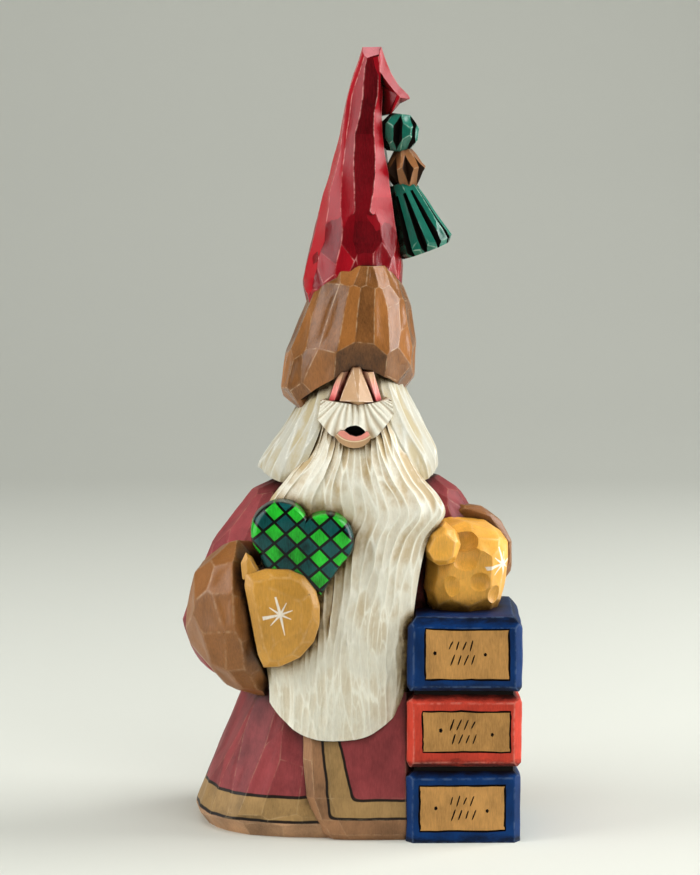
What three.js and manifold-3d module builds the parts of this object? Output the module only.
// A knife-carved and painted wooden santa with a tall hat, a long beard, a heart in one mitten and
// the other mitten on a stack of three toy blocks. The whole figure is cut from one piece of wood.
// Millimetres, +Z up, the face looks along -Y. The origin is under the middle of the figure.
import * as THREE from "three";
import { mergeVertices } from "three/addons/utils/BufferGeometryUtils.js";
import { ConvexGeometry } from "three/addons/geometries/ConvexGeometry.js";
import Module from "manifold-3d";

const wasm = await Module();
wasm.setup();

// Driving dimensions. The figure's free forms are drawn at drawnHeight and follow figureHeight.
const figureHeight = 254;
const drawnHeight = 254;
const size = figureHeight / drawnHeight;
const drawn = (length) => length / size;

// The flat cuts of the knife: their usual width, and how far each bites below the rounded blank.
const knifeWidth = 8;
const knifeBite = 0.5;
const fewestCuts = 7;

// The stack of toy blocks beside the skirt. Its corner nearest the coat follows the figure.
const blockWidth = 36.8;
const blockDepth = 46;
const blockHeight = 23.7;
const blockGap = 0.9;
const blockInset = 2.6;
const blockTopBevel = 3;
const blockSideBevel = 2.4;
const blockBottomBevel = 1.2;
const blockTurns = [1.2, 0.4, -0.8];
const blockStep = 0.5;
const stackLeft = 18 * size;
const stackFront = -40 * size;
const stackMiddle = stackLeft + blockWidth / 2;
const stackTop = 3 * blockHeight + 2 * blockGap;

// Gouge cuts in the beard, the hair and the moustache.
const beardGrooves = 17;
const beardGrooveDepth = 1.3;
const hairGrooves = 30;
const hairGrooveDepth = 0.9;
const moustacheGrooves = 9;
const moustacheGrooveDepth = 0.7;

// Shares by which the hand strays around a form and up it, and the waver of a gouge cut's depth.
const strayAround = 0.45;
const strayUp = 0.33;
const gougeLeast = 0.55;
const gougeWaver = 0.45;

const UP = new THREE.Vector3(0, 0, 1);
const HUGE = 400;
const SAME = 1e-7;

const point = (x, y, z) => new THREE.Vector3(x, y, z);
const degrees = THREE.MathUtils.degToRad;

// A small, repeatable irregularity between -0.5 and 0.5, as a hand leaves.
function wobble(seed) {
  const value = Math.sin(seed * 12.9898 + 4.1414) * 43758.5453;
  return value - Math.floor(value) - 0.5;
}

// Solid shapes are lists of flat polygons until they are joined.
function boxFaces(low, high) {
  const corner = (i) => point(i & 1 ? high.x : low.x, i & 2 ? high.y : low.y, i & 4 ? high.z : low.z);
  const rings = [[0, 2, 3, 1], [4, 5, 7, 6], [0, 1, 5, 4], [2, 6, 7, 3], [0, 4, 6, 2], [1, 3, 7, 5]];
  return rings.map((ring) => ring.map(corner));
}

// One flat knife cut through a convex shape: what lies beyond the plane is removed.
function slice(faces, normal, offset) {
  const kept = [];
  const rim = [];
  for (const face of faces) {
    const inside = [];
    face.forEach((a, i) => {
      const b = face[(i + 1) % face.length];
      const overA = normal.dot(a) - offset;
      const overB = normal.dot(b) - offset;
      if (overA <= 0) inside.push(a);
      if (overA < 0 && overB > 0) {
        const cut = a.clone().lerp(b, overA / (overA - overB));
        inside.push(cut);
        rim.push(cut);
      } else if (overA > 0 && overB < 0) {
        const cut = b.clone().lerp(a, overB / (overB - overA));
        inside.push(cut);
        rim.push(cut);
      } else if (overA === 0) rim.push(a);
    });
    if (inside.length > 2) kept.push(inside);
  }
  const corners = rim.filter((p, i) => rim.findIndex((q) => q.distanceTo(p) < SAME) === i);
  if (corners.length < 3) return kept;
  const middle = corners.reduce((sum, p) => sum.add(p), point(0, 0, 0)).divideScalar(corners.length);
  const across = corners[0].clone().sub(middle).normalize();
  const along = normal.clone().cross(across);
  const angle = (p) => Math.atan2(p.clone().sub(middle).dot(along), p.clone().sub(middle).dot(across));
  kept.push(corners.sort((p, q) => angle(p) - angle(q)));
  return kept;
}

const sliceAt = (faces, normal, through) => slice(faces, normal, normal.dot(through));

// Sections are rows of [height, x, y, half width, half depth], read between rows in straight lines.
function sectionAt(sections, height) {
  let i = 0;
  while (i < sections.length - 2 && height > sections[i + 1][0]) i += 1;
  const [low, high] = [sections[i], sections[i + 1]];
  const share = (height - low[0]) / (high[0] - low[0]);
  return low.map((value, k) => value + (high[k] - value) * share);
}

function onBlank(sections, square, angle, height) {
  const [, x, y, halfWidth, halfDepth] = sectionAt(sections, height);
  const bend = (value) => Math.sign(value) * Math.abs(value) ** (2 / square);
  return point(x + halfWidth * bend(Math.cos(angle)), y + halfDepth * bend(Math.sin(angle)), height);
}

function blankNormal(sections, square, angle, height) {
  const turn = 0.02;
  const rise = 0.6;
  const round = onBlank(sections, square, angle + turn, height).sub(
    onBlank(sections, square, angle - turn, height));
  const up = onBlank(sections, square, angle, height + rise).sub(
    onBlank(sections, square, angle, height - rise));
  return round.cross(up).normalize();
}

// A rounded form whittled with flat cuts: rows of facets follow the sections. Wide is in knife widths,
// and a row given as [height, widen] has cuts wider than the others.
function whittle({ sections, rows, wide = 1, bite = 1, square = 2, seed = 1, tilt = 0.1 }) {
  const width = drawn(knifeWidth) * wide;
  const bottom = sections[0][0];
  const top = sections[sections.length - 1][0];
  let faces = boxFaces(point(-HUGE, -HUGE, bottom), point(HUGE, HUGE, top));
  rows.forEach((given, row) => {
    const [height, widen = 1] = [given].flat();
    const [, , , halfWidth, halfDepth] = sectionAt(sections, height);
    const around = Math.PI * (halfWidth + halfDepth);
    const count = Math.max(fewestCuts, Math.round(around / (width * widen)));
    for (let i = 0; i < count; i += 1) {
      const mark = seed * 97 + row * 31 + i;
      const angle = (2 * Math.PI * (i + 0.5 * (row % 2) + strayAround * wobble(mark))) / count;
      const level = height + width * strayUp * wobble(mark + 0.3);
      const normal = blankNormal(sections, square, angle, level);
      normal.add(point(wobble(mark + 0.5), wobble(mark + 0.6), wobble(mark + 0.7)).multiplyScalar(tilt));
      normal.normalize();
      const through = onBlank(sections, square, angle, level);
      faces = slice(faces, normal, normal.dot(through) - drawn(knifeBite) * bite);
    }
  });
  return faces;
}

// A slab with a convex outline of [x, z] points, seen from the front, with bevelled rims. Its front
// falls off by the slope crown from a share of the way out.
function slab({ outline, front, back, bevel = 2, lean = 0.15, crown = 0.08, seed = 1 }) {
  const flatShare = 0.45;
  let faces = boxFaces(point(-HUGE, front, -HUGE), point(HUGE, back, HUGE));
  const middle = outline.reduce((sum, [x, z]) => sum.add(point(x, 0, z)), point(0, 0, 0))
    .divideScalar(outline.length);
  outline.forEach(([x, z], i) => {
    const [nextX, nextZ] = outline[(i + 1) % outline.length];
    const edge = point(nextX - x, 0, nextZ - z);
    const out = point(edge.z, 0, -edge.x).normalize();
    const through = point((x + nextX) / 2, front, (z + nextZ) / 2);
    if (out.dot(through.clone().sub(middle)) < 0) out.negate();
    faces = sliceAt(faces, out.clone().add(point(0, lean, 0)).normalize(),
      through.clone().add(point(0, bevel, 0)));
    const rim = out.clone().add(point(0, -1 + 0.5 * wobble(seed + i), 0)).normalize();
    faces = sliceAt(faces, rim, through.clone().add(point(0, bevel, 0)));
    if (crown) {
      const gentle = out.clone().multiplyScalar(crown * (1 + wobble(seed + i + 0.4)));
      gentle.add(point(0, -1, 0)).normalize();
      faces = sliceAt(faces, gentle, middle.clone().lerp(through, flatShare).setY(front));
    }
  });
  return faces;
}

// Turns local +Z to an axis and moves the form there.
function place(faces, origin, axis, spin = 0) {
  const turn = new THREE.Quaternion().setFromUnitVectors(UP, axis.clone().normalize());
  const about = new THREE.Quaternion().setFromAxisAngle(UP, spin);
  const moved = (p) => p.clone().applyQuaternion(about).applyQuaternion(turn).add(origin);
  return faces.map((face) => face.map(moved));
}

function solidFrom(geometry) {
  geometry.deleteAttribute("normal");
  geometry.deleteAttribute("uv");
  const merged = mergeVertices(geometry, 1e-5);
  return new wasm.Manifold(new wasm.Mesh({
    numProp: 3,
    vertProperties: merged.attributes.position.array,
    triVerts: new Uint32Array(merged.index.array),
  }));
}

function solidOf(faces) {
  const corners = [];
  for (const face of faces) {
    for (let i = 1; i < face.length - 1; i += 1) {
      for (const p of [face[0], face[i], face[i + 1]]) corners.push(p.x, p.y, p.z);
    }
  }
  const geometry = new THREE.BufferGeometry();
  geometry.setAttribute("position", new THREE.Float32BufferAttribute(corners, 3));
  return solidFrom(geometry);
}

// Rings of points with equal counts, each star-shaped about its middle, closed at both ends.
function loft(rings) {
  const faces = [];
  const middle = (ring) => ring.reduce((sum, p) => sum.add(p), point(0, 0, 0)).divideScalar(ring.length);
  rings[0].forEach((_, i) => {
    const next = (i + 1) % rings[0].length;
    for (let row = 1; row < rings.length; row += 1) {
      faces.push([rings[row - 1][i], rings[row][i], rings[row][next], rings[row - 1][next]]);
    }
    const [top, bottom] = [rings[0], rings[rings.length - 1]];
    faces.push([middle(top), top[i], top[next]], [middle(bottom), bottom[next], bottom[i]]);
  });
  return solidOf(faces);
}

const hull = (points) => solidFrom(new ConvexGeometry(points));

// A straight-sided piece with a convex outline of [x, z] points.
const prism = (outline, front, back) => hull(
  outline.flatMap(([x, z]) => [point(x, front, z), point(x, back, z)]));

// A bent form as a row of convex links, each spanning two neighbouring sections.
const chain = (stations) => wasm.Manifold.union(
  stations.slice(1).map((station, i) => hull([...stations[i], ...station])));

// Smooth reading of a table of [place, value, ...] rows.
function curveAt(table, at) {
  let i = 0;
  while (i < table.length - 2 && at > table[i + 1][0]) i += 1;
  const before = table[Math.max(0, i - 1)];
  const [a, b] = [table[i], table[i + 1]];
  const after = table[Math.min(table.length - 1, i + 2)];
  const span = b[0] - a[0];
  const t = Math.min(1, Math.max(0, (at - a[0]) / span));
  return a.slice(1).map((value, k) => {
    const slopeA = (b[k + 1] - before[k + 1]) / (b[0] - before[0]);
    const slopeB = (after[k + 1] - value) / (after[0] - a[0]);
    return value * (1 + 2 * t) * (1 - t) ** 2 + b[k + 1] * t * t * (3 - 2 * t)
      + span * (slopeA * t * (1 - t) ** 2 - slopeB * t * t * (1 - t));
  });
}

// A gouged surface: a grid of points over u and v, drawn back to a flat rear plane.
function gouged({ grooves, rows, surface, depth, back, taper = 0.86 }) {
  const columns = 2 * Math.round(grooves);
  const front = [];
  for (let row = 0; row <= rows; row += 1) {
    const line = [];
    for (let column = 0; column <= columns; column += 1) {
      const u = column / columns;
      const v = row / rows;
      const p = surface(u, v);
      const valley = column % 2;
      const phase = (column - valley) * 3.9;
      const strength = gougeLeast + gougeWaver * Math.sin(phase + 5 * v);
      line.push(p.add(point(0, valley * drawn(depth) * strength, 0)));
    }
    front.push(line);
  }
  const rear = front.map((line) => {
    const middle = (line[0].x + line[columns].x) / 2;
    return line.map((p) => point(middle + (p.x - middle) * taper, back, p.z));
  });
  const faces = [];
  for (let row = 0; row < rows; row += 1) {
    for (let column = 0; column < columns; column += 1) {
      const quad = (grid) => [grid[row][column], grid[row + 1][column], grid[row + 1][column + 1],
        grid[row][column + 1]];
      faces.push(quad(front), quad(rear).reverse());
    }
    for (const column of [0, columns]) {
      const wall = [front[row][column], rear[row][column], rear[row + 1][column], front[row + 1][column]];
      faces.push(column ? wall.reverse() : wall);
    }
  }
  for (let column = 0; column < columns; column += 1) {
    for (const row of [0, rows]) {
      const wall = [front[row][column], front[row][column + 1], rear[row][column + 1], rear[row][column]];
      faces.push(row ? wall.reverse() : wall);
    }
  }
  return solidOf(faces);
}

// The coat: a flared skirt, the torso, and the front panel that laps over the other.
const skirtSections = [[0, -4.8, 0, 43, 33.4], [4.7, -5, 0, 46.4, 36], [8, -5, 0, 45.6, 36.4],
  [16, -4.8, 0, 42.2, 35], [28, -4.6, 0, 38, 33], [42, -4.2, 0, 33.4, 30.4], [52, -4, 0, 29, 26]];
const torsoSections = [[36, -3, 1, 30, 27], [46, -3, 1, 33.5, 29], [62, -3, 1, 35, 30.5],
  [80, -2.5, 1, 35.5, 30], [94, -1.5, 2, 34, 27.5], [104, -0.5, 2.5, 30, 24], [112, 0, 3, 24, 19.5],
  [119, 0.5, 3, 14, 12]];

function skirt() {
  return solidOf(whittle({ sections: skirtSections, rows: [2, 6.6, 15, 31, 46], wide: 1.25, square: 2.7,
    seed: 3, tilt: 0.04, bite: 0.6 }));
}

function torso() {
  return solidOf(whittle({ sections: torsoSections, rows: [42, 54, 68, 82, 95, 106, 114], wide: 1.25,
    square: 2.2, seed: 5 }));
}

// Rows of [height, left edge x, front y] down the lapping edge of the panel, which runs on to the right
// until it is hidden behind the blocks, and back into the skirt.
const panelRight = 26;
const panelBack = -8;
const panelTable = [[48, -15.4, -34.6], [36, -15.2, -35.8], [26, -15, -37], [14, -14.1, -38.4],
  [7, -11.8, -38.6], [2, -9, -37.6], [0, -7.4, -36.2]];

function frontPanel() {
  return hull(panelTable.flatMap(([z, x, y]) => [
    point(x, y + 3.4, z),
    point(x + 2.6, y + 0.6, z),
    point(x + 8, y, z),
    point(x + 4, panelBack, z),
    point(panelRight - 8, y + 0.4, z),
    point(panelRight, y + 6, z),
    point(panelRight, panelBack, z)]));
}

// The arm on the viewer's left: sleeve, wide cuff, mitten, thumb and the heart it holds.
const leftSleeveSections = [[44, -35, -7, 6, 9], [49.4, -36, -8, 9.8, 14], [52.5, -36.5, -8.5, 12.2, 16],
  [58.6, -37, -9, 15.6, 18.5], [64, -37, -9, 17.4, 20], [69.3, -36.8, -8.5, 17.6, 20.2],
  [75.4, -36, -8, 16.6, 20], [86.8, -33.5, -6, 14.4, 18], [94.8, -31.4, -3.5, 13.2, 16],
  [102.2, -27.8, -1, 10.2, 14], [106.8, -25.8, 0.5, 8.8, 12], [110.8, -24, 1.5, 5.8, 9],
  [113, -22, 2, 3, 6]];
const leftCuffCentre = point(-29, -25, 72);
const leftCuffAxis = point(0.95, -0.27, 0.13);
const leftCuffSections = [[-23, 0, 0, 6, 6], [-20, 0, 0, 13, 11], [-14, 0, 0, 20.5, 17],
  [-7, 0, 0, 24.4, 19.6], [-1.5, 0, 0, 25, 20], [1.6, 0, 0, 21, 16.6]];
const leftWristSections = [[-2, 0, 0, 14, 13], [8, 0, 0, 15, 13], [14, 0, 0, 12, 10]];
const leftPalm = [[-33.4, 84], [-32.8, 87.6], [-26.5, 89.6], [-19.2, 89.3], [-14.4, 87.2], [-10.7, 82.4],
  [-9.3, 77.4], [-9.4, 71.5], [-11.4, 66], [-15.8, 60.9], [-22.2, 57.9], [-27.4, 57.7], [-29.4, 62]];
const leftThumb = [[-34.4, 91], [-32.9, 94.4], [-30.8, 93], [-28, 88.4], [-31.4, 84], [-34, 86]];

function leftArm() {
  const sleeve = solidOf(whittle({ sections: leftSleeveSections,
    rows: [47, 54, 63, 73, 84, 95, 104.5, 111], wide: 1.12, seed: 7 }));
  const cuff = solidOf(place(whittle({ sections: leftCuffSections, rows: [-19, -12, -4.5, 0.4], wide: 1.4,
    seed: 11, tilt: 0.05, bite: 0.6 }), leftCuffCentre, leftCuffAxis));
  const wrist = solidOf(place(whittle({ sections: leftWristSections, rows: [2, 11], seed: 12 }),
    leftCuffCentre.clone().add(point(0, -1, -0.5)), leftCuffAxis));
  const palm = solidOf(slab({ outline: leftPalm, front: -47, back: -28, bevel: 3, lean: 0.04, crown: 0.1,
    seed: 13 }));
  const thumb = solidOf(slab({ outline: leftThumb, front: -44, back: -30, bevel: 1.4, seed: 15 }));
  return [sleeve, cuff, wrist, palm, thumb];
}

// The heart is two round lobes drawn down to one tip.
const heartTip = [-9.2, 80.5];
const heartLobes = [{ centre: [-21.9, 100.7], radius: 9.6, from: 222, to: 10 },
  { centre: [-7.6, 98], radius: 8.9, from: 132, to: -52 }];
const heartNotch = [-15.2, 104.4];
const heartFlank = [[-18, 83.4], [-26.4, 87.2]];
const heartFront = -43.6;
const heartBack = -33.5;
const heartBevel = 2.4;

function heart() {
  const lobes = heartLobes.map(({ centre, radius, from, to }, i) => {
    const outline = i ? [heartTip] : [heartTip, ...heartFlank];
    const steps = 7;
    for (let step = 0; step <= steps; step += 1) {
      const angle = degrees(from + ((to - from) * step) / steps);
      outline.push([centre[0] + radius * Math.cos(angle), centre[1] + radius * Math.sin(angle)]);
    }
    return solidOf(slab({ outline, front: heartFront, back: heartBack, bevel: heartBevel, lean: 0,
      crown: 0, seed: 17 + i }));
  });
  const [left, right] = heartLobes.map(({ centre }) => centre);
  const aboveTip = [heartTip[0] - 0.4, heartTip[1] + 1.5 * heartBevel];
  return [...lobes, prism([left, heartNotch, right, aboveTip], heartFront, heartBack)];
}

// The arm on the viewer's right: its mitten rests on the stack of blocks.
const rightSleeveSections = [[66, 29, 0, 9, 10], [76, 30, 0, 12, 14], [87, 30.5, 0, 13, 15.5],
  [97, 29.6, 1, 12.6, 14.6], [104, 28.2, 1.5, 11.6, 13], [109.5, 26.6, 2, 9.4, 10.5],
  [113.6, 25, 2.5, 4.8, 6]];
const rightCuffSections = [[-18, 0, 0, 8, 9], [-12, 0, 0, 14, 14.6], [-5, 0, 0, 16.6, 17.4],
  [-1.4, 0, 0, 16.8, 17.6], [0.4, 0, 0, 15.2, 16.2]];
const rightMittenSections = [[-16, 0, 0, 6, 6], [-13, 0, 0, 10, 10.5], [-7, 0, 0, 13, 14.2],
  [0, 0, 0, 13.6, 14.9], [7, 0, 0, 13.2, 14.5], [11.5, 0, 0, 10.8, 12], [14, 0, 0, 7, 8]];
const thumbSections = [[-9, 0, 0, 5.6, 6.2], [-2, 0, 0, 6.3, 7], [3, 0, 0, 5.8, 6.5],
  [5.2, 0, 0, 4.2, 4.7]];
const rightForward = point(0.1, -0.98, -0.08);
// Where the mitten rests, in the figure's drawn millimetres.
const restX = drawn(stackMiddle);
const restZ = drawn(stackTop);

function rightArm() {
  const sleeve = solidOf(whittle({ sections: rightSleeveSections, rows: [71, 81, 92, 101, 107, 112],
    seed: 23 }));
  const cuff = solidOf(place(whittle({ sections: rightCuffSections, rows: [-15, -9, -3, -0.4], wide: 1.12,
    seed: 27, tilt: 0.05 }), point(restX + 1, -6, restZ + 14.6), rightForward));
  const mitten = solidOf(place(whittle({ sections: rightMittenSections,
    rows: [-14, -10, -3.5, 3.5, 9.5, 13], seed: 29, square: 2.4 }),
  point(restX + 0.6, -14, restZ + 13.9), rightForward));
  const crease = hull([[-1.2, -22, 29], [-2.2, -25, 16], [6.1, -30, 26], [7.1, -31, 17], [-0.4, -36, 29],
    [-1.4, -36, 15]].map(([x, y, z]) => point(restX + x, y, restZ + z)));
  const thumb = solidOf(place(whittle({ sections: thumbSections, rows: [-5, 0.6, 4], wide: 0.68,
    seed: 31 }), point(restX - 6.8, -28, restZ + 22.2), point(0, -1, -0.02)));
  return [sleeve, cuff, mitten.subtract(crease), thumb];
}

// Three blocks with bevelled edges, each turned a little, and sunk necks between them.
function block(index) {
  const half = point(blockWidth / 2, blockDepth / 2, blockHeight / 2);
  const bottom = index * (blockHeight + blockGap);
  let faces = boxFaces(half.clone().negate(), half);
  for (const [a, b] of [["x", "y"], ["y", "z"], ["x", "z"]]) {
    for (const signA of [-1, 1]) {
      for (const signB of [-1, 1]) {
        const normal = point(0, 0, 0);
        normal[a] = signA;
        normal[b] = signB * (1 + 0.6 * wobble(index * 5 + signA + 2 * signB));
        const bevel = [blockBottomBevel, blockSideBevel, blockTopBevel][Math.sign(normal.z) + 1];
        const through = point(0, 0, 0);
        through[a] = signA * (half[a] - bevel / 2);
        through[b] = signB * (half[b] - bevel / 2);
        if (bottom > 0 || normal.z >= 0) faces = sliceAt(faces, normal.normalize(), through);
      }
    }
  }
  const centre = point(stackMiddle + blockStep * (index - 1), stackFront + blockDepth / 2,
    bottom + blockHeight / 2);
  return solidOf(place(faces, centre, UP, degrees(blockTurns[index])));
}

function neck(index) {
  const half = point(blockWidth / 2 - blockInset, blockDepth / 2 - blockInset, blockGap + blockTopBevel);
  const middle = (index + 1) * (blockHeight + blockGap) - blockGap / 2;
  const centre = point(stackMiddle, stackFront + blockDepth / 2, middle);
  return solidOf(boxFaces(half.clone().negate().add(centre), half.clone().add(centre)));
}

const blocks = () => [block(0), block(1), block(2), neck(0), neck(1)];

// The beard, from under the moustache to the hem, as rows of [height, left x, right x, front y].
const beardTable = [[30, -26, 17, -37.4], [45, -26, 17.4, -39.6], [60, -27.6, 18.8, -40.6],
  [75, -28.4, 20.8, -40.4], [90, -28, 23.6, -39.2], [98, -27.8, 25.6, -38], [105, -27, 30.2, -36.8],
  [110, -25.6, 28.6, -35.8], [116, -20.6, 23, -34.4], [123, -14.6, 18, -33], [130, -11.6, 15.4, -31.4],
  [137, -10, 13, -30]];
const beardTop = 137;
const beardBottom = 32.6;
const beardCornerRise = 12;
const beardRound = 2.6;
const beardFall = 5.5;
const beardBack = -14;

function beard() {
  const surface = (u, v) => {
    const across = Math.abs(2 * u - 1) ** beardRound;
    const bottom = beardBottom + beardCornerRise * across;
    const z = beardTop + (bottom - beardTop) * v;
    const [left, right, frontY] = curveAt(beardTable, z);
    const sway = 0.5 * Math.sin(9 * v + 6 * u);
    return point(left + (right - left) * u + sway, frontY + beardFall * across, z);
  };
  return gouged({ grooves: beardGrooves, rows: 16, surface, depth: beardGrooveDepth, back: beardBack });
}

// The hair falls around the head from under the brim, with a slanted lock on either side of the face.
// Rows of [height, middle x, half width, depth to the front, to the back, inner left x, inner right x].
const hairTable = [[112, -0.6, 29, 28, 20, -19.4, 22.8], [117.5, -0.6, 30, 28.6, 20.4, -16.4, 20],
  [123, 0.6, 28.4, 28.4, 20.8, -13.4, 16.8], [131, 1.5, 23.4, 27.4, 21, -10.2, 13.4],
  [140, 1.9, 18.6, 24.4, 20.6, -8.6, 10.8], [150, 1.4, 14.6, 19.6, 19, -7.4, 9.8]];
const hairTop = 150;
const hairBottom = 112;
const hairSquare = 2.5;
const hairInnerBack = -20;

function hair() {
  const columns = 2 * Math.round(hairGrooves);
  const rows = 7;
  const bend = (value) => Math.sign(value) * Math.abs(value) ** (2 / hairSquare);
  const rings = [];
  for (let row = 0; row <= rows; row += 1) {
    const ring = [];
    for (let column = 0; column <= columns; column += 1) {
      const share = column / columns;
      const about = Math.PI * (1.3 - 1.6 * share);
      const bottom = hairBottom + 2 * Math.max(0, -Math.sin(about)) + 5 * Math.abs(Math.cos(about)) ** 6;
      const z = hairTop + ((bottom - hairTop) * row) / rows;
      const [middle, half, front, back, innerLeft, innerRight] = curveAt(hairTable, z);
      const reach = (inner) => Math.acos((Math.abs(inner - middle) / half) ** (hairSquare / 2));
      const start = Math.PI + reach(innerLeft);
      const angle = start - share * (start + reach(innerRight));
      const groove = (column % 2) * drawn(hairGrooveDepth) * (row ? 1 : 0.3);
      const depth = Math.sin(angle) < 0 ? front : back;
      const x = middle + (half - groove) * bend(Math.cos(angle));
      ring.push(point(x, (depth - groove) * bend(Math.sin(angle)), z));
    }
    const [first, last] = [ring[0], ring[ring.length - 1]];
    ring.push(point(last.x - 2, hairInnerBack, last.z), point(first.x + 2, hairInnerBack, first.z));
    rings.push(ring.reverse());
  }
  return loft(rings);
}

// Moustache, mouth, lower lip, nose and cheeks.
// Rows of [share across, lower height, upper height].
const moustacheTable = [[0, 135.3, 141.3], [0.21, 130.1, 140.8], [0.4, 132.8, 140.3],
  [0.5, 133.5, 140.1], [0.6, 132.4, 140.3], [0.72, 129.5, 140.6], [0.92, 134, 141.4], [1, 137, 141.7]];
const moustacheLeft = -9.4;
const moustacheRight = 13;
const mouthOutline = [[-1.9, 132], [-1, 132.9], [0.3, 133.5], [1.9, 133.7], [3.2, 133.2], [4.2, 132.4],
  [4.9, 131.5], [3.5, 130.5], [1.9, 130.1], [0, 130.6]];
const mouthFront = -42;
const mouthFloor = -29;
const lipOutline = [[-4.9, 130.2], [-3.2, 132], [5.7, 131.8], [6.8, 129.9], [6, 128.5], [4.5, 127.2],
  [2.9, 126.6], [1.2, 126.4], [-0.5, 126.7], [-2.2, 127.4], [-3.7, 128.5]];
const lipFront = -32.6;

function moustache() {
  const surface = (u, v) => {
    const [low, high] = curveAt(moustacheTable, u);
    const across = 2 * u - 1;
    const x = moustacheLeft + (moustacheRight - moustacheLeft) * u + across * v;
    return point(x, -33.2 + 4.4 * across ** 2 + 1.4 * (1 - v), high + (low - high) * v);
  };
  return gouged({ grooves: moustacheGrooves, rows: 3, surface, depth: moustacheGrooveDepth, back: -20 });
}

function nose() {
  const bridge = [point(0.6, -21, 152.4), point(3, -21, 152.4), point(0.6, -24.4, 151.2),
    point(3, -24.4, 151.2)];
  const wings = [point(-3.4, -28.4, 141), point(7, -28.4, 141), point(-3, -24, 140),
    point(6.8, -24, 140)];
  const tip = [point(2.4, -33.8, 141.6), point(0.6, -32.8, 140.2), point(4.2, -32.8, 140.2)];
  return hull([...bridge, ...wings, ...tip]);
}

const cheek = (top, bottom, ridge) => hull([point(top[0], -22.4, 150), point(top[1], -22.4, 150),
  point((top[0] + top[1]) / 2, -23.8, 149.8), point(bottom[0], -25, 140.6), point(bottom[1], -25, 140.6),
  point(ridge, -28.6, 141.2), point(bottom[0], -20, 140), point(bottom[1], -20, 140)]);

const skinSections = [[124, 1.6, -6, 10, 14.6], [138, 1.6, -6, 11, 15.6], [148, 1.6, -6, 9.6, 15.4],
  [154, 1.6, -5, 7, 13]];

function face() {
  const skin = solidOf(whittle({ sections: skinSections, rows: [130, 145, 152], seed: 39 }));
  return [skin, moustache(), prism(lipOutline, lipFront, -24), nose(),
    cheek([-3.8, -1.4], [-7, -3.4], -4.4), cheek([4.6, 7.6], [7.2, 10.4], 8.2)];
}

// The fur brim: tall cuts above its ridge, and a broad band below. Its top leans forward against the
// hat, and an arch is cut from the band to open it over the face.
const brimSections = [[135, -3.5, -1.45, 12, 14.55], [138.6, -2.8, -1, 17.6, 18],
  [142, -2.2, -0.85, 20.1, 20.65], [146, -0.8, -1.2, 21.5, 22], [151, 0, -1.3, 21.6, 23.3],
  [155, 0.5, -1.5, 21.3, 24.1], [159.4, 1, -1.7, 20.6, 24.5], [163.5, 1.6, -1.7, 19.4, 22.9],
  [170.5, 2.6, -1.2, 17.4, 19.8], [177.1, 3, -3.2, 13.6, 15.6], [181, 3.7, -8, 9.1, 9],
  [183.3, 5.2, -11, 3.6, 5.2]];
const brimArch = [[-17.6, 138.8], [-11.2, 144], [-4, 148.6], [1.9, 151.4], [8.8, 149.4], [12.8, 147.3],
  [17.4, 143.6], [18, 130], [-18, 130]];
const brimArchBack = -13;

function brim() {
  const band = solidOf(whittle({ sections: brimSections,
    rows: [137, [143.5, 1.5], [151, 2.2], [166, 1.1], 175.4, 180, 182.4],
    wide: 1.05, bite: 0.7, seed: 41, tilt: 0.05 }));
  return band.subtract(prism(brimArch, -40, brimArchBack));
}

// The tall hat: long strips up a leaning cone, a foot of small cuts, and the tip folded to the side.
// Rows up the cone of [height, middle x, half width, half depth], and then the five ridges in front, in
// degrees from straight ahead. The ridges behind run straight.
const hatTable = [[184, 1.3, 13.4, 12.6, -38, -21, -13, 34, 62],
  [191.3, 2.1, 13.9, 13.2, -40, -23, -15, 38, 60],
  [196.3, 2.3, 13.2, 12.5, -46, -20, -11, 33, 62],
  [201.1, 2.6, 12.4, 11.8, -50, -26, -5, 18, 62],
  [206.8, 3, 11.2, 10.8, -58, -31, -7, 23, 60],
  [212.8, 3.4, 9.9, 9.8, -54, -35, -12, 28, 62],
  [219, 3.7, 8.6, 8.7, -54, -39, -16, 30, 58],
  [225.7, 4, 7.3, 7.6, -60, -42, -18, 29, 58],
  [232, 4.4, 6.4, 6.8, -66, -43, -11, 30, 62],
  [238, 4.8, 5.6, 6, -70, -46, -6, 44, 74],
  [247, 5.9, 4.1, 4.8, -68, -38, -18, 50, 76],
  [253.9, 7.2, 3, 3.8, -68, -40, -18, 50, 76]];
const hatRidgesBehind = [112, 150, 188, 222, 262];
const hatFootSections = [[166, -0.4, 0, 13, 12.6], [172, 0.4, 0, 15, 14.4], [176.2, 0.7, 0, 16.2, 15.4],
  [180.2, 0.9, 0, 16.3, 15.4], [186, 1.6, 0, 15.7, 14.8], [191.3, 2.1, 0, 14.4, 13.7],
  [197, 2.4, 0, 12.5, 11.8], [202, 2.6, 0, 9.4, 9]];
const hatGrow = 1.04;
// The flat cut across the very tip: a point on it, and how steeply it falls to the front.
const tipCut = point(0, -3.6, 250.5);
const tipNormal = [0, 0.64, -0.77];
// Stations of [outer x, z, inner x, z, root x, z] along the folded tip.
const foldStations = [[10.1, 253.9, 9.2, 250.8, 6, 250], [11.7, 249.6, 9.6, 246, 7, 244],
  [13.6, 245.1, 11.6, 242.3, 8, 238], [15.9, 241.2, 14.6, 239, 8.6, 233.6],
  [18.8, 238.3, 16.1, 237.7, 10.4, 231.4], [19.5, 237, 16.1, 237.3, 13.3, 232]];

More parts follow.
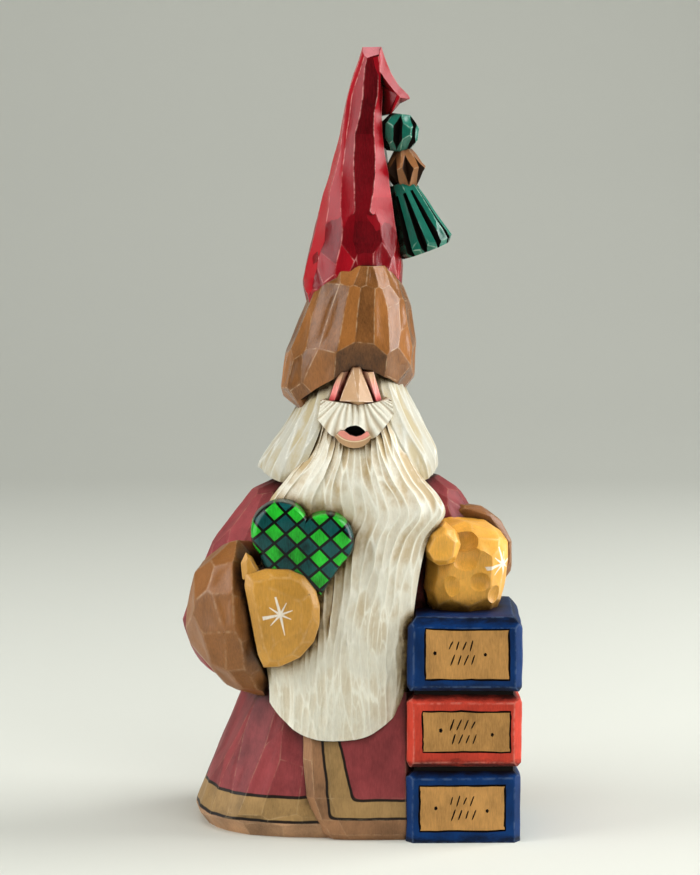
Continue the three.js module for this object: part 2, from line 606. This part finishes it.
function hat() {
  const rings = hatTable.map(([height, middle, halfX, halfY, ...front], row) =>
    [...front, ...hatRidgesBehind].map((ridge, i) => {
      const about = degrees(ridge + (i < front.length ? 0 : 7) * wobble(row * 3.1 + i * 1.7));
      const grow = hatGrow + 0.03 * wobble(row * 5.3 + i);
      return point(middle + halfX * grow * Math.sin(about), -halfY * grow * Math.cos(about), height);
    }));
  const cone = loft(rings.reverse()).trimByPlane(tipNormal, tipCut.dot(point(...tipNormal)));
  const foot = solidOf(whittle({ sections: hatFootSections, rows: [170, 177.5, 185, 193], wide: 0.88,
    seed: 43, bite: 0.6, tilt: 0.05 }));
  const fold = chain(foldStations.map(([outerX, outerZ, innerX, innerZ, rootX, rootZ]) => [
    point(outerX, -1, outerZ),
    point(outerX, 1.4, outerZ),
    point(innerX, -3.6, innerZ),
    point(innerX, 3.8, innerZ),
    point(rootX, -3.6, rootZ),
    point(rootX, 3.8, rootZ)]));
  const scoop = hull([...[[9.8, 245.6], [15.2, 238.2], [13.2, 231.6]].flatMap(
    ([x, z]) => [point(x, -6, z), point(x, -3.5, z)]),
  point(10.4, -0.8, 241), point(11.2, -0.8, 230), point(9, -6, 230)]);
  return [cone, foot, fold.subtract(scoop)];
}

// The tassel at the fold: a knot, a bead and a pleated fringe. A pleat is a wedge along a valley line.
function pleats({ centre, axis, count, phase, valley, open, width }) {
  const wedges = [];
  for (let i = 0; i < count; i += 1) {
    const about = (2 * Math.PI * (i + phase)) / count;
    const out = point(Math.cos(about), Math.sin(about), 0);
    const side = point(-Math.sin(about), Math.cos(about), 0);
    const corners = valley.flatMap(([height, radius], end) => [
      out.clone().multiplyScalar(radius).setZ(height),
      out.clone().multiplyScalar(open[end]).add(side.clone().multiplyScalar(width[end])).setZ(height),
      out.clone().multiplyScalar(open[end]).sub(side.clone().multiplyScalar(width[end])).setZ(height)]);
    wedges.push(hull(place([corners], centre, axis)[0]));
  }
  return wasm.Manifold.union(wedges);
}

const knotSections = [[-6.2, 0, 0, 3.4, 3.6], [-3, 0, 0, 5.6, 5.8], [0.8, 0, 0, 6, 6.4],
  [3.6, 0, 0, 5.2, 5.4], [5.9, 0, 0, 3.2, 3.2]];
const beadSections = [[-6.8, 0, 0, 2.8, 3], [-3, 0, 0, 5.2, 5.4], [0.6, 0, 0, 6.9, 6.9],
  [3, 0, 0, 5.2, 5.4], [6.6, 0, 0, 2.8, 3]];
const fringeSections = [[-1.5, 0, 0, 4.2, 4], [18.4, 0, 0, 9.2, 8.8], [20.6, 0, 0, 9.6, 9],
  [22.2, 0, 0, 8, 7.6]];
const knotCentre = point(16, 0, 226.2);
const beadCentre = point(17.8, 0, 214.2);
const fringeTop = point(16.9, 0, 208.4);
const knotAxis = point(0.12, 0, 1);
const beadAxis = point(-0.12, 0, 1);
const fringeAxis = point(0.36, 0, -0.93);

function tassel() {
  const knot = solidOf(place(whittle({ sections: knotSections, rows: [-4.6, 0.6, 4.8], wide: 0.75,
    seed: 53, bite: 0.4 }), knotCentre, knotAxis));
  const bead = solidOf(place(whittle({ sections: beadSections, rows: [-4, 3.6], wide: 0.58, seed: 59,
    bite: 0.2, tilt: 0.02 }), beadCentre, beadAxis));
  const fringe = solidOf(place(whittle({ sections: fringeSections, rows: [10, 20, 21.6], wide: 0.62,
    seed: 61, bite: 0.2, tilt: 0.02 }), fringeTop, fringeAxis));
  return [
    knot.subtract(pleats({ centre: knotCentre, axis: knotAxis, count: 6, phase: 0.42,
      valley: [[-8, 3.4], [8, 3.4]], open: [9, 9], width: [3.2, 3.2] })),
    bead.subtract(pleats({ centre: beadCentre, axis: beadAxis, count: 8, phase: 0.2,
      valley: [[-8, 3.9], [8, 3.9]], open: [9, 9], width: [3, 3] })),
    fringe.subtract(pleats({ centre: fringeTop, axis: fringeAxis, count: 11, phase: 0.3,
      valley: [[2, 3], [24, 7]], open: [6, 12], width: [0.9, 2] }))];
}

// Everything is joined into the one carving and stood over the origin.
function carving() {
  const mouth = prism(mouthOutline, mouthFront, mouthFloor);
  const grown = [skirt(), torso(), frontPanel(), ...leftArm(), ...heart(), ...rightArm(), beard(), hair(),
    ...face(), brim(), ...hat(), ...tassel()];
  const figure = wasm.Manifold.union(grown).subtract(mouth).scale([size, size, size]);
  const joined = wasm.Manifold.union([figure, ...blocks()]).trimByPlane([0, 0, 1], 0);
  const bodies = joined.simplify(0.02).decompose();
  return bodies.sort((a, b) => b.volume() - a.volume())[0];
}

const solid = carving();
const mesh = solid.getMesh();
const geometry = new THREE.BufferGeometry();
geometry.setAttribute("position", new THREE.BufferAttribute(new Float32Array(mesh.vertProperties), 3));
geometry.setIndex(new THREE.BufferAttribute(mesh.triVerts, 1));
geometry.computeBoundingBox();
const box = geometry.boundingBox;
geometry.translate(-(box.min.x + box.max.x) / 2, -(box.min.y + box.max.y) / 2, 0);

const paintedWood = new THREE.MeshStandardMaterial({ color: 0xa3323c, roughness: 0.45, metalness: 0 });
const santa = new THREE.Mesh(geometry, paintedWood);
santa.name = "carved_santa";

const figure = new THREE.Group();
figure.add(santa);
export default figure;
